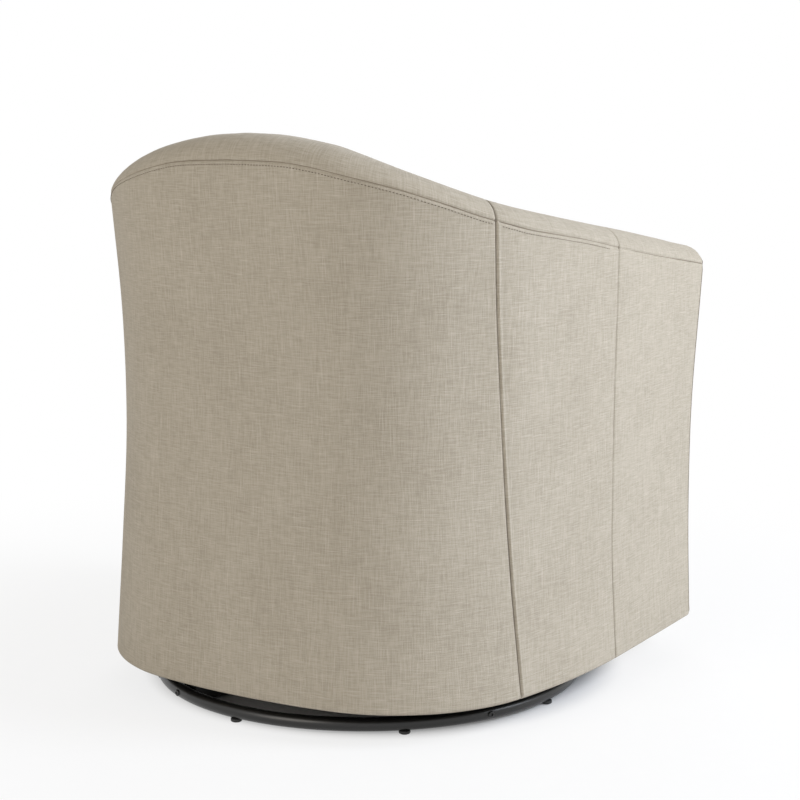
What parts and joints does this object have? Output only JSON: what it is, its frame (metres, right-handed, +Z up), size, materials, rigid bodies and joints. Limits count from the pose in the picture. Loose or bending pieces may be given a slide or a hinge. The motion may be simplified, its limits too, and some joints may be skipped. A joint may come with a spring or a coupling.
{
  "type": "swivel barrel chair",
  "caption": "Upholstered barrel chair with rounded wrap-around back, sloping arms and loose boxed seat cushion, turning on a ball-bearing plate over a low steel ring base.",
  "frame": {"origin": "on the floor under the middle of the chair's footprint; the swivel axis stands 38.25 mm behind it", "axes": "+Z up, the chair faces -Y, the sitter's left is +X"},
  "size_m": [0.73, 0.7424, 0.8015],
  "materials": {
    "upholstery_fabric": "plain-weave linen look with slubs, matte",
    "foam": "polyurethane foam with wadding, matte",
    "frame_hardwood": "sawn hardwood, unfinished",
    "frame_plywood": "plywood, unfinished",
    "fibre_board": "hardboard, smooth",
    "webbing": "woven elastic webbing, matte",
    "black_cambric": "thin black cloth, matte",
    "black_steel": "black powder coat, satin to gloss",
    "zinc_steel": "zinc-plated pressed steel",
    "bearing_steel": "polished",
    "black_plastic": "moulded, matte"
  },
  "bodies": {
    "base": {"base_ring": "black_steel", "base_cross_arms": "black_steel", "ring_screws": "zinc_steel", "base_glides": "black_plastic", "swivel_lower_plate": "zinc_steel", "swivel_eyelet": "zinc_steel", "lower_plate_bolts": "zinc_steel"},
    "bearing": {"ball_cage": "black_plastic", "bearing_balls": "bearing_steel"},
    "seat": {"swivel_upper_plate": "zinc_steel", "upper_plate_bolts": "zinc_steel", "bottom_rim": "frame_plywood", "swivel_rail_left": "frame_hardwood", "swivel_rail_right": "frame_hardwood", "seat_rim": "frame_plywood", "top_rail_back": "frame_plywood", "arm_rail_left": "frame_plywood", "arm_rail_right": "frame_plywood", "back_posts": "frame_hardwood", "side_posts": "frame_hardwood", "front_post_left": "frame_hardwood", "front_post_right": "frame_hardwood", "inside_arm_board_left": "fibre_board", "inside_arm_board_right": "fibre_board", "back_webbing": "webbing", "seat_webbing_lengthwise": "webbing", "seat_webbing_crosswise": "webbing", "deck_pad": "foam", "front_rail": "frame_hardwood", "front_border_foam": "foam", "front_border_cover": "upholstery_fabric", "inside_back_foam": "foam", "inside_arm_foam_left": "foam", "inside_arm_foam_right": "foam", "top_roll_foam_back": "foam", "top_roll_foam_left": "foam", "top_roll_foam_right": "foam", "arm_facing_foam_left": "foam", "arm_facing_foam_right": "foam", "arm_facing_cover_left": "upholstery_fabric", "arm_facing_cover_right": "upholstery_fabric", "outside_back_cover": "upholstery_fabric", "outside_side_cover_left": "upholstery_fabric", "outside_side_cover_right": "upholstery_fabric", "outside_front_cover_left": "upholstery_fabric", "outside_front_cover_right": "upholstery_fabric", "top_roll_cover_back": "upholstery_fabric", "top_roll_cover_side_left": "upholstery_fabric", "top_roll_cover_side_right": "upholstery_fabric", "top_roll_cover_front_left": "upholstery_fabric", "top_roll_cover_front_right": "upholstery_fabric", "inside_back_cover": "upholstery_fabric", "inside_arm_cover_left": "upholstery_fabric", "inside_arm_cover_right": "upholstery_fabric", "dust_cover": "black_cambric"},
    "cushion": {"seat_cushion_bottom_panel": "upholstery_fabric", "seat_cushion_boxing": "upholstery_fabric", "seat_cushion_top_panel": "upholstery_fabric", "seat_cushion_foam": "foam"}
  },
  "joints": [
    {"name": "seat_swivel", "type": "hinge", "parent": "base", "child": "seat", "pos_m": [0, 0.03825, 0.047], "axis": [0, 0, 1], "continuous": true},
    {"name": "bearing_spin", "type": "hinge", "parent": "base", "child": "bearing", "pos_m": [0, 0.03825, 0.0355], "axis": [0, 0, 1], "continuous": true},
    {"name": "cushion_lift", "type": "slide", "parent": "seat", "child": "cushion", "axis": [0, 0, 1], "range_m": [0, 0.25]}
  ],
  "couplings": [
    {"joint": "bearing_spin", "follows": "seat_swivel", "ratio": 0.5}
  ]
}
